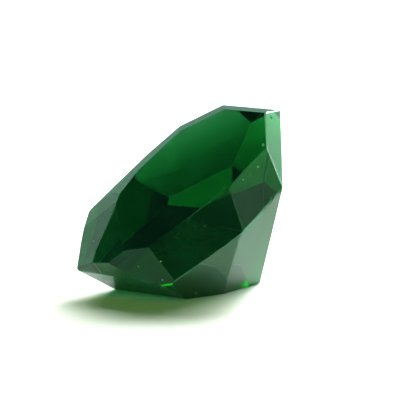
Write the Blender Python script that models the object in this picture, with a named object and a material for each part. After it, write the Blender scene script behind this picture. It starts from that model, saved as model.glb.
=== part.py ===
"""A loose faceted green garnet, one elongated oval stone of about 9 x 6 mm, lying on one of its lower facets.

The stone is worked out the way a cutter does it: from a blank, one flat cut after another. The cutting
plan uses millimetres with the girdle at height 0, the table facing +Z and the long axis along X. The
finished stone is then laid down on its resting facet, with the origin under its middle.
"""

import math

import bmesh
import bpy
from mathutils import Matrix, Vector

MM = 0.001

# Driving dimensions, in millimetres
TABLE_HEIGHT = 0.60  # from the girdle up to the table
GIRDLE_TRIM = 0.012  # how far the girdle facets cut back the knife edge
CULET_DEPTH = 3.6  # from the girdle down to the small flat at the bottom
BLANK_SIZE = 14.0

# The facet that the stone lies on: the way it faces round the girdle, its slope, and its depth on the axis
REST_AZIMUTH = 166.0
REST_SLOPE = 31.0
REST_DEPTH = 3.38

# How the resting stone is turned about the vertical, in degrees
HEADING = 74.0

# Crown facets: azimuth from the long axis, slope from the girdle plane, reach at the girdle in mm
CROWN = (
    (345, 33, 4.34),  # far end
    (37, 28, 3.34),
    (63, 35, 2.41),  # far long side, in small steps
    (73, 24, 2.91),
    (87, 27, 2.97),
    (96, 26, 3.19),
    (99, 28, 3.28),
    (109, 15, 4.41),  # broad shallow facet beside the table
    (155, 77, 4.38),  # steep break at the low end
    (184, 26, 4.80),  # near end
    (234, 22, 3.41),  # near long side
    (248, 26, 3.19),
    (283, 59, 3.16),  # steep side
)

# Pavilion facets, in the same terms, with the slope going down from the girdle
PAVILION = (
    (345, 81, 4.34),  # steep facet under the far end
    (37, 62, 3.34),  # broad facet from there to the bottom
    (68, 80, 2.75),  # steep triangle between the two broad facets of the far side
    (96, 58, 3.15),
    (159, 58, 4.38),  # near end
    (184, 74, 4.80),
    (232, 80, 3.44),  # near long side
    (248, 71, 3.17),
    (283, 63, 3.15),
)

# Girdle facets: azimuth and reach of the outline
GIRDLE = (
    (345, 4.34),
    (37, 3.34),
    (93, 3.10),
    (184, 4.80),
    (234, 3.41),
    (248, 3.17),
    (283, 3.16),
)


def facing(azimuth, slope):
    """The outward direction of a facet that faces this way round and leans this far from the girdle plane."""
    turn = math.radians(azimuth)
    lean = math.radians(slope)
    return Vector((math.cos(turn) * math.sin(lean), math.sin(turn) * math.sin(lean), math.cos(lean)))


def blank():
    """A closed block, larger than the stone on every side."""
    stone = bmesh.new()
    bmesh.ops.create_cube(stone, size=BLANK_SIZE)
    return stone


def cut(stone, point, normal):
    """Grinds one flat facet: removes all beyond the plane, and closes the stone with one face."""
    everything = stone.verts[:] + stone.edges[:] + stone.faces[:]
    result = bmesh.ops.bisect_plane(
        stone, geom=everything, dist=1e-5, plane_co=point, plane_no=normal, clear_outer=True
    )
    rim = [item for item in result["geom_cut"] if isinstance(item, bmesh.types.BMEdge)]
    if rim:
        bmesh.ops.contextual_create(stone, geom=rim)


def on_girdle(azimuth, reach):
    turn = math.radians(azimuth)
    return Vector((reach * math.cos(turn), reach * math.sin(turn), 0.0))


def cut_crown(stone):
    cut(stone, Vector((0, 0, TABLE_HEIGHT)), Vector((0, 0, 1)))
    for azimuth, slope, reach in CROWN:
        cut(stone, on_girdle(azimuth, reach), facing(azimuth, slope))


def cut_girdle(stone):
    for azimuth, reach in GIRDLE:
        cut(stone, on_girdle(azimuth, reach - GIRDLE_TRIM), facing(azimuth, 90))


def cut_pavilion(stone):
    cut(stone, Vector((0, 0, -CULET_DEPTH)), Vector((0, 0, -1)))
    for azimuth, slope, reach in PAVILION:
        cut(stone, on_girdle(azimuth, reach), facing(azimuth, 180 - slope))
    cut(stone, Vector((0, 0, -REST_DEPTH)), facing(REST_AZIMUTH, 180 - REST_SLOPE))


def lay_down(stone):
    """Turns the stone onto its resting facet, and puts the origin under its middle."""
    down = facing(REST_AZIMUTH, 180 - REST_SLOPE).rotation_difference(Vector((0, 0, -1)))
    turn = Matrix.Rotation(math.radians(HEADING), 4, "Z") @ down.to_matrix().to_4x4()
    bmesh.ops.transform(stone, matrix=turn, verts=stone.verts)
    low = Vector(min(vert.co[axis] for vert in stone.verts) for axis in range(3))
    high = Vector(max(vert.co[axis] for vert in stone.verts) for axis in range(3))
    middle = Vector(((low.x + high.x) / 2, (low.y + high.y) / 2, low.z))
    bmesh.ops.translate(stone, vec=-middle, verts=stone.verts)
    bmesh.ops.scale(stone, vec=(MM, MM, MM), verts=stone.verts)


def green_garnet():
    material = bpy.data.materials.new("green_garnet")
    material.use_nodes = True
    shader = material.node_tree.nodes["Principled BSDF"]
    shader.inputs["Base Color"].default_value = (0.03, 0.30, 0.08, 1.0)
    shader.inputs["Roughness"].default_value = 0.03
    shader.inputs["Metallic"].default_value = 0.0
    shader.inputs["IOR"].default_value = 1.74
    shader.inputs["Transmission Weight"].default_value = 1.0
    return material


def main():
    for obj in list(bpy.data.objects):
        bpy.data.objects.remove(obj)
    stone = blank()
    cut_crown(stone)
    cut_girdle(stone)
    cut_pavilion(stone)
    lay_down(stone)
    bmesh.ops.recalc_face_normals(stone, faces=stone.faces)
    mesh = bpy.data.meshes.new("garnet")
    stone.to_mesh(mesh)
    stone.free()
    mesh.materials.append(green_garnet())
    garnet = bpy.data.objects.new("garnet", mesh)
    bpy.context.scene.collection.objects.link(garnet)


main()
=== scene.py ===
"""The green garnet lying on a white table top in soft studio light, seen from the photograph's side."""

import math
import random

import bmesh
import bpy
from mathutils import Matrix, Vector
from mathutils.bvhtree import BVHTree


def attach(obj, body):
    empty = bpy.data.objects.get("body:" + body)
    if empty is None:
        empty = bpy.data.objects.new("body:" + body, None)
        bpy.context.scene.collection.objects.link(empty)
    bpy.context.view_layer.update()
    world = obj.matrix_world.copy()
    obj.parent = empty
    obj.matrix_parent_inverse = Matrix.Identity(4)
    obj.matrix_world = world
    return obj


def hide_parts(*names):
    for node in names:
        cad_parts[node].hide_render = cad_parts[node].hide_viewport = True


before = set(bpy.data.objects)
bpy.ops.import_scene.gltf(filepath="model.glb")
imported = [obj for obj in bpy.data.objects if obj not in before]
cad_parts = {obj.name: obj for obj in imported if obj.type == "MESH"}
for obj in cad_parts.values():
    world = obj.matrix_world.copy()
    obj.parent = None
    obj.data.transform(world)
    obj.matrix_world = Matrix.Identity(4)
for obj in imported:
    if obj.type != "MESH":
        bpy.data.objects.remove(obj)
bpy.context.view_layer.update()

MM = 0.001

# Where the photograph was taken from
CAMERA_ELEVATION = 8.0  # degrees above the table top
CAMERA_TILT = math.radians(CAMERA_ELEVATION)
CAMERA_BACK = Vector((0, -math.cos(CAMERA_TILT), math.sin(CAMERA_TILT)))
CAMERA_UP = Vector((0, math.sin(CAMERA_TILT), math.cos(CAMERA_TILT)))
PHOTO_SIDE = 400  # pixels
FRAME_WIDTH = 12.5 * MM  # what the picture takes in, at the stone
AIM_RIGHT = 0.625 * MM  # the picture's middle, from the point under the stone's middle
AIM_UP = 2.625 * MM
LENS = 1000.0  # long, because the photograph shows hardly any perspective
SENSOR = 36.0
CAMERA_DISTANCE = FRAME_WIDTH * LENS / SENSOR
NEAREST_SEEN = 0.01
FARTHEST_SEEN = 10.0
PICTURE_GAMMA = 0.8

# The table top
TABLE_TOP_SIDE = 4.0
TABLE_TOP_GAP = 0.01 * MM  # keeps it just clear of the facet that rests on it
TABLE_TOP_COLOUR = (0.72, 0.72, 0.72, 1.0)
TABLE_TOP_ROUGHNESS = 0.8

# The light, with the room as the facets mirror it
LIGHT_DISTANCE = 0.6
WHITE = (1.0, 1.0, 1.0)
SHADOW_GREEN = (0.48, 1.0, 0.10)
ROOM_GLOW = 1.3
WALL_TINT = (0.66, 1.0, 0.78, 1.0)
WALL_FOOT = 0.3  # glow of the wall behind the stone at its foot
WALL_GAIN = 0.5  # how much brighter it is higher up
FRONT_GLOW = 0.45
SIDE_GLOW = 0.6
SIDE_GAIN = 0.9  # how much brighter the side is further round to the right
CEILING_TINT = (0.12, 0.55, 0.60, 1.0)
CEILING_GLOW = 0.12

# The crystal, and the thin greasy film that covers a share of it
CRYSTAL_IOR = 1.74
DEPTH_COLOUR = (0.30, 0.75, 0.50, 1.0)  # what the depth of the stone lets through
DEPTH_DENSITY = 2200.0
WORN_ROUGHNESS = 0.22
SMUDGE_ROUGHNESS = 0.015
SMUDGE_SIZE = 1.3 * MM
SMUDGE_EDGE = (0.48, 0.70)  # the noise where smudges start, and where they are full
RIPPLE_SIZE = 1.1 * MM
LINE_SIZE = 0.05 * MM
LINE_STRETCH = (1.0, 0.06, 0.4)
LINE_SHARE = 0.025  # how deep the fine lines are beside the ripples
RELIEF = 0.0012 * MM
FILM_COLOUR = (0.04, 0.80, 0.42, 1.0)
FILM_ROUGHNESS = 0.55
FILM_ON_ALL = 0.05
FILM_BESIDE_TABLE = 0.05  # more on each facet but the table
FILM_IN_SMUDGES = 0.03
FILM_WHERE_WORN = 0.20

# Wear of the stone, in millimetres and degrees
RUB = 0.018  # how far the polish is rubbed back from an edge
RUB_SPREAD = (0.6, 1.3)  # the least and most of that, as shares
RUB_LEAN = 0.35  # how much a rubbed edge may lean along its length
RUB_SEED = 7
SHORTEST_RUBBED = 0.12
LEAST_FOLD = 3.0  # between two facets whose edge is rubbed
SAME_POINT = 0.002  # corners nearer than this are one
SAME_FACET = 0.3  # faces that fold less than this are one
ON_PLANE = 0.0001  # points as near as this to a cut count as on it

# Marks kept on the faces, read by the stone's finish
RUBBED = 1.0
BROKEN = 0.5

# Chips knocked out of the edges: the photograph's pixel, then the hollow's radius in millimetres
CHIPS = (
    (271, 117, 0.05),
    (266, 130, 0.06),
    (264, 145, 0.08),
    (271, 198, 0.07),
    (153, 283, 0.07),
    (196, 292, 0.05),
    (224, 188, 0.05),
    (112, 212, 0.05),
)
CHIP_LIFT = 0.55  # how far the hollow's middle lies outside the stone, as a share of its radius
CHIP_SWELL = 0.5  # the most that one lobe adds, as a share of the radius
CHIP_SEED = 11

# Dust lying on the facets: the photograph's pixel, then the grain's width in millimetres
SPECKS = (
    (258, 167, 0.042),
    (243, 180, 0.034),
    (250, 175, 0.018),
    (94, 241, 0.028),
    (161, 261, 0.030),
    (163, 279, 0.026),
    (139, 266, 0.020),
    (205, 226, 0.018),
    (170, 196, 0.016),
)
SPECK_LIFT = 0.1  # how far a grain's middle lies outside the stone, as a share of its width
SPECK_SWELL = 0.9
SPECK_FLATNESS = 0.5
SPECK_SEED = 5
DUST_GRAIN = 0.02 * MM
DARKER_DUST = (0.55, 0.68, 0.60, 1.0)
PALER_DUST = (0.88, 0.94, 0.90, 1.0)
DUST_ROUGHNESS = 0.6  # where it is darker
DUST_ROUGHNESS_GAIN = 0.3  # how much rougher it is where it is paler

# The lumpy balls that chips and dust are made of
LOBES = 5
STEEPEST_LOBE = 60.0  # degrees up or down
LOBE_FOCUS = 3  # higher makes the lobes narrower
BALL_STRETCH = (0.75, 1.4)
BALL_DETAIL = 3


class Shade:
    """One socket of a material's nodes. Sums on it add the nodes that work them out."""

    def __init__(self, finish, socket):
        self.finish = finish
        self.socket = socket

    def math(self, operation, *values):
        return self.finish.node("ShaderNodeMath", {"operation": operation}, dict(enumerate(values)))

    def __add__(self, other):
        return self.math("ADD", self, other)

    def __mul__(self, other):
        return self.math("MULTIPLY", self, other)

    def larger(self, other):
        return self.math("MAXIMUM", self, other)

    __radd__ = __add__
    __rmul__ = __mul__


class Finish:
    """A material or the room's light, and the one way that its nodes are added."""

    def __init__(self, made):
        self.made = made
        made.use_nodes = True
        self.tree = made.node_tree
        self.tree.nodes.clear()

    def node(self, kind, settings=None, inputs=None, out=0):
        made = self.tree.nodes.new(kind)
        for key, value in (settings or {}).items():
            setattr(made, key, value)
        for key, value in (inputs or {}).items():
            if isinstance(value, Shade):
                self.tree.links.new(value.socket, made.inputs[key])
            else:
                made.inputs[key].default_value = value
        return Shade(self, made.outputs[out]) if made.outputs else None

    def ramp(self, value, start, end):
        """0 where the value is at start, 1 at end, and a smooth change between."""
        return self.node(
            "ShaderNodeMapRange",
            {"interpolation_type": "SMOOTHSTEP"},
            {"Value": value, "From Min": start, "From Max": end},
        )

    def place(self, stretch=(1.0, 1.0, 1.0)):
        """Where a point is on the object, with each axis stretched."""
        at = self.node("ShaderNodeTexCoord", out=3)
        return self.node("ShaderNodeMapping", inputs={"Vector": at, "Scale": stretch})

    def noise(self, place, grain, detail=2.0):
        """Soft random patches of about this size in metres, from 0 to 1."""
        return self.node("ShaderNodeTexNoise", inputs={"Vector": place, "Scale": 1 / grain, "Detail": detail})

    def mark(self, name):
        """A mark kept on each face."""
        return self.node("ShaderNodeAttribute", {"attribute_name": name}, out=2)


def garnet_finish():
    """Clear deep green crystal. Its colour comes from the depth of stone that the light has passed.

    The polish carries faint ripples and fine lines. The greasy film is thicker in some patches, and on every
    facet but the table. The rubbed edges and the chips are frosted.
    """
    finish = Finish(bpy.data.materials.new("clear_green_garnet"))
    place = finish.place()
    worn = finish.mark("wear")
    handled = finish.mark("grease")
    smudge = finish.ramp(finish.noise(place, SMUDGE_SIZE, detail=4.0), *SMUDGE_EDGE)
    lines = finish.noise(finish.place(LINE_STRETCH), LINE_SIZE)
    relief = finish.noise(place, RIPPLE_SIZE, detail=0.0) + lines * LINE_SHARE
    bump = finish.node("ShaderNodeBump", inputs={"Height": relief, "Distance": RELIEF})
    crystal = finish.node(
        "ShaderNodeBsdfPrincipled",
        inputs={
            "Base Color": (1.0, 1.0, 1.0, 1.0),
            "Roughness": smudge * SMUDGE_ROUGHNESS + worn * WORN_ROUGHNESS,
            "IOR": CRYSTAL_IOR,
            "Transmission Weight": 1.0,
            "Normal": bump,
        },
    )
    film = finish.node(
        "ShaderNodeBsdfPrincipled", inputs={"Base Color": FILM_COLOUR, "Roughness": FILM_ROUGHNESS}
    )
    patches = smudge * FILM_IN_SMUDGES + worn * FILM_WHERE_WORN
    cover = patches + handled * FILM_BESIDE_TABLE + FILM_ON_ALL
    surface = finish.node("ShaderNodeMixShader", inputs={0: cover, 1: crystal, 2: film})
    depth = finish.node(
        "ShaderNodeVolumeAbsorption", inputs={"Color": DEPTH_COLOUR, "Density": DEPTH_DENSITY}
    )
    finish.node("ShaderNodeOutputMaterial", inputs={"Surface": surface, "Volume": depth})
    return finish.made


def dust_finish():
    """Pale fluff and grit, a little darker in places."""
    finish = Finish(bpy.data.materials.new("pale_dust"))
    patch = finish.noise(finish.place(), DUST_GRAIN)
    colour = finish.node(
        "ShaderNodeMix", {"data_type": "RGBA"}, {0: patch, 6: DARKER_DUST, 7: PALER_DUST}, out=2
    )
    rough = patch * DUST_ROUGHNESS_GAIN + DUST_ROUGHNESS
    surface = finish.node("ShaderNodeBsdfPrincipled", inputs={"Base Color": colour, "Roughness": rough})
    finish.node("ShaderNodeOutputMaterial", inputs={"Surface": surface})
    return finish.made


def table_top_finish():
    finish = Finish(bpy.data.materials.new("white_table_top"))
    surface = finish.node(
        "ShaderNodeBsdfPrincipled",
        inputs={"Base Color": TABLE_TOP_COLOUR, "Roughness": TABLE_TOP_ROUGHNESS},
    )
    finish.node("ShaderNodeOutputMaterial", inputs={"Surface": surface})
    return finish.made


def towards(heading, elevation):
    """A direction: heading 0 is away behind the stone, 90 to the right and 180 towards the camera."""
    h = math.radians(heading)
    e = math.radians(elevation)
    return Vector((math.sin(h) * math.cos(e), math.cos(h) * math.cos(e), math.sin(e)))


def facets_of(node):
    """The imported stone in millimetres, with each facet as one flat face. The table is its largest facet."""
    stone = bmesh.new()
    stone.from_mesh(node.data)
    bmesh.ops.scale(stone, vec=Vector((1, 1, 1)) / MM, verts=stone.verts)
    bmesh.ops.remove_doubles(stone, verts=stone.verts, dist=SAME_POINT)
    bmesh.ops.dissolve_limit(
        stone, angle_limit=math.radians(SAME_FACET), verts=stone.verts, edges=stone.edges
    )
    for face in stone.faces:
        face.smooth = False
    stone.normal_update()
    stone.faces.layers.float.new("wear")
    grease = stone.faces.layers.float.new("grease")
    table = max(stone.faces, key=lambda face: face.calc_area())
    for face in stone.faces:
        face[grease] = 0.0 if face is table else 1.0
    return stone


def rubbed_planes(stone):
    """The planes that take the sharpness off the stone's edges, each a little uneven."""
    chance = random.Random(RUB_SEED)
    planes = []
    for edge in stone.edges:
        one, other = edge.link_faces
        fold = one.normal.angle(other.normal)
        if edge.calc_length() < SHORTEST_RUBBED or fold < math.radians(LEAST_FOLD):
            continue
        along = (edge.verts[1].co - edge.verts[0].co).normalized()
        outward = (one.normal + other.normal).normalized()
        lean = Matrix.Rotation(math.radians(chance.uniform(-RUB_LEAN, RUB_LEAN)), 3, along.cross(outward))
        depth = RUB * chance.uniform(*RUB_SPREAD) * math.sin(fold / 2)
        middle = (edge.verts[0].co + edge.verts[1].co) / 2
        planes.append((middle - outward * depth, lean @ outward))
    return planes


def rub(stone, point, outward):
    """Takes off what is beyond one plane, and marks the new face."""
    everything = stone.verts[:] + stone.edges[:] + stone.faces[:]
    result = bmesh.ops.bisect_plane(
        stone, geom=everything, dist=ON_PLANE, plane_co=point, plane_no=outward, clear_outer=True
    )
    rim = [item for item in result["geom_cut"] if isinstance(item, bmesh.types.BMEdge)]
    if rim:
        wear = stone.faces.layers.float["wear"]
        for face in bmesh.ops.contextual_create(stone, geom=rim)["faces"]:
            face[wear] = RUBBED


def under_pixel(surface, column, row):
    """The point of the stone that shows at a pixel of the photograph, and the way the facet there faces."""
    right = AIM_RIGHT + (column / PHOTO_SIDE - 0.5) * FRAME_WIDTH
    up = AIM_UP - (row / PHOTO_SIDE - 0.5) * FRAME_WIDTH
    seen_from = Vector((right, 0, 0)) + CAMERA_UP * up + CAMERA_BACK * CAMERA_DISTANCE
    point, outward, _, _ = surface.ray_cast(seen_from / MM, -CAMERA_BACK)
    return point, outward


def lumpy_ball(size, chance, swell):
    """A ball in millimetres with a few soft lobes, the shape of a chip's hollow or of a grain."""
    ball = bmesh.new()
    bmesh.ops.create_icosphere(ball, subdivisions=BALL_DETAIL, radius=size)
    lobes = []
    for _ in range(LOBES):
        lobe = towards(chance.uniform(0, 360), chance.uniform(-STEEPEST_LOBE, STEEPEST_LOBE))
        lobes.append((lobe, chance.uniform(0, swell)))
    stretch = Vector([chance.uniform(*BALL_STRETCH) for _ in range(3)])
    for vert in ball.verts:
        way = vert.co.normalized()
        reach = 1 + sum(much * max(0.0, way.dot(lobe)) ** LOBE_FOCUS for lobe, much in lobes)
        vert.co = vert.co * stretch * reach
    return ball


def gathered(name, shapes):
    """One object that holds all these shapes."""
    mesh = bpy.data.meshes.new(name)
    whole = bmesh.new()
    for shape in shapes:
        shape.to_mesh(mesh)
        shape.free()
        whole.from_mesh(mesh)
    whole.to_mesh(mesh)
    whole.free()
    made = bpy.data.objects.new(name, mesh)
    bpy.context.scene.collection.objects.link(made)
    return made


def chip_cutter(surface):
    """The hollows of all the chips, as one object in millimetres."""
    chance = random.Random(CHIP_SEED)
    bites = []
    for column, row, size in CHIPS:
        point, outward = under_pixel(surface, column, row)
        bite = lumpy_ball(size, chance, CHIP_SWELL)
        bmesh.ops.translate(bite, vec=point + outward * size * CHIP_LIFT, verts=bite.verts)
        wear = bite.faces.layers.float.new("wear")
        for face in bite.faces:
            face[wear] = BROKEN
        bites.append(bite)
    return gathered("chip_cutter", bites)


def chipped(stone, surface):
    """The stone with its chips knocked out. Their hollows are smooth, as broken crystal is."""
    cutter = chip_cutter(surface)
    solid = gathered("chipped_stone", [stone])
    modifier = solid.modifiers.new("chips", "BOOLEAN")
    modifier.operation = "DIFFERENCE"
    modifier.solver = "EXACT"
    modifier.object = cutter
    bpy.context.view_layer.update()
    result = bmesh.new()
    result.from_mesh(solid.evaluated_get(bpy.context.evaluated_depsgraph_get()).to_mesh())
    for helper in (cutter, solid):
        bpy.data.objects.remove(helper)
    wear = result.faces.layers.float["wear"]
    for face in result.faces:
        face.smooth = face[wear] == BROKEN
    for edge in result.edges:
        edge.smooth = all(face.smooth for face in edge.link_faces)
    return result


def finished_piece(made, finish):
    """Brings an object's millimetres to metres, and gives it its finish and the body it moves with."""
    made.data.transform(Matrix.Scale(MM, 4))
    made.data.materials.clear()
    made.data.materials.append(finish)
    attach(made, "root")
    return made


def make_stone(stone, surface):
    for point, outward in rubbed_planes(stone):
        rub(stone, point, outward)
    stone = finished_piece(gathered("worn_garnet", [chipped(stone, surface)]), garnet_finish())
    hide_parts("garnet")


def make_dust(surface):
    chance = random.Random(SPECK_SEED)
    grains = []
    for column, row, size in SPECKS:
        point, outward = under_pixel(surface, column, row)
        grain = lumpy_ball(size / 2, chance, SPECK_SWELL)
        lay = outward.to_track_quat("Z", "Y").to_matrix() @ Matrix.Diagonal((1.0, 1.0, SPECK_FLATNESS))
        bmesh.ops.transform(grain, matrix=lay.to_4x4(), verts=grain.verts)
        bmesh.ops.translate(grain, vec=point + outward * size * SPECK_LIFT, verts=grain.verts)
        grains.append(grain)
    finished_piece(gathered("dust_specks", grains), dust_finish())


def set_table_top():
    bpy.ops.mesh.primitive_plane_add(size=TABLE_TOP_SIDE, location=(0, 0, -TABLE_TOP_GAP))
    table_top = bpy.context.object
    table_top.name = "table_top"
    table_top.data.materials.append(table_top_finish())
    return table_top


def softbox(name, heading, elevation, width, height, glow, colour=WHITE):
    """A soft panel of light that faces the stone. Width and height are the angles it fills, in degrees."""
    data = bpy.data.lights.new(name, "AREA")
    data.shape = "RECTANGLE"
    data.size = 2 * LIGHT_DISTANCE * math.tan(math.radians(width / 2))
    data.size_y = 2 * LIGHT_DISTANCE * math.tan(math.radians(height / 2))
    data.energy = glow * math.pi * data.size * data.size_y
    data.color = colour
    lamp = bpy.data.objects.new(name, data)
    away = towards(heading, elevation)
    lamp.location = away * LIGHT_DISTANCE
    lamp.rotation_euler = away.to_track_quat("Z", "Y").to_euler()
    lamp.visible_camera = False
    bpy.context.scene.collection.objects.link(lamp)
    return lamp


def set_lights(table_top):
    """A window and a small lamp that sparkle in the crystal, and two broad panels that light dull surfaces.

    The crystal throws yellow-green light on the table top, and the panel that fills its shadow has that
    colour. The low key panel lights the table top alone, because its raking light would drown the film on
    the far facets.
    """
    softbox("window", heading=17, elevation=25, width=12, height=12, glow=90.0)
    sparkle = softbox("sparkle", heading=77, elevation=50, width=8, height=8, glow=250.0)
    sparkle.visible_glossy = False
    sparkle.visible_diffuse = False
    key = softbox("key", heading=12, elevation=17, width=44, height=18, glow=78.0)
    fill = softbox("fill", heading=180, elevation=50, width=100, height=100, glow=0.41, colour=SHADOW_GREEN)
    for panel in (key, fill):
        panel.visible_glossy = False
        panel.visible_transmission = False
    lit_by_key = bpy.data.collections.new("lit_by_key")
    lit_by_key.objects.link(table_top)
    key.light_linking.receiver_collection = lit_by_key


def set_room():
    """Pale green walls behind the stone, to its right and behind the camera, under a dim blue-green ceiling.

    They show in the crystal, and leave the lighting of dull surfaces to the panels. The ramps run over a
    direction's share to the right, away behind the stone and up, each from -1 to 1.
    """
    world = bpy.data.worlds.new("studio")
    room = Finish(world)
    way = room.node("ShaderNodeTexCoord", out=0)
    right, away, rise = (room.node("ShaderNodeSeparateXYZ", inputs={0: way}, out=k) for k in range(3))
    brighter_up = room.ramp(rise, 0.1, 0.3) * WALL_GAIN + WALL_FOOT
    wall = room.ramp(rise, 0.58, 0.38) * room.ramp(away, 0.0, 0.4) * brighter_up
    front = room.ramp(away, -0.12, -0.30) * FRONT_GLOW
    side = room.ramp(right, 0.05, 0.15) * SIDE_GLOW + room.ramp(right, 0.35, 0.5) * SIDE_GAIN
    glow = wall.larger(front).larger(side) * ROOM_GLOW
    walls = room.node("ShaderNodeBackground", inputs={"Color": WALL_TINT, "Strength": glow})
    ceiling = room.node("ShaderNodeBackground", inputs={"Color": CEILING_TINT, "Strength": CEILING_GLOW})
    both = room.node("ShaderNodeAddShader", inputs={0: walls, 1: ceiling})
    room.node("ShaderNodeOutputWorld", inputs={"Surface": both})
    bpy.context.scene.world = world
    world.cycles_visibility.diffuse = False


def set_camera():
    data = bpy.data.cameras.new("photo_camera")
    data.sensor_width = SENSOR
    data.lens = LENS
    data.clip_start = NEAREST_SEEN
    data.clip_end = FARTHEST_SEEN
    camera = bpy.data.objects.new("photo_camera", data)
    camera.location = Vector((AIM_RIGHT, 0, 0)) + CAMERA_UP * AIM_UP + CAMERA_BACK * CAMERA_DISTANCE
    camera.rotation_euler = CAMERA_BACK.to_track_quat("Z", "Y").to_euler()
    bpy.context.scene.collection.objects.link(camera)
    bpy.context.scene.camera = camera
    bpy.context.scene.view_settings.view_transform = "Standard"
    bpy.context.scene.view_settings.gamma = PICTURE_GAMMA


cut_stone = facets_of(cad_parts["garnet"])
cut_surface = BVHTree.FromBMesh(cut_stone)
make_stone(cut_stone, cut_surface)
make_dust(cut_surface)
set_lights(set_table_top())
set_room()
set_camera()
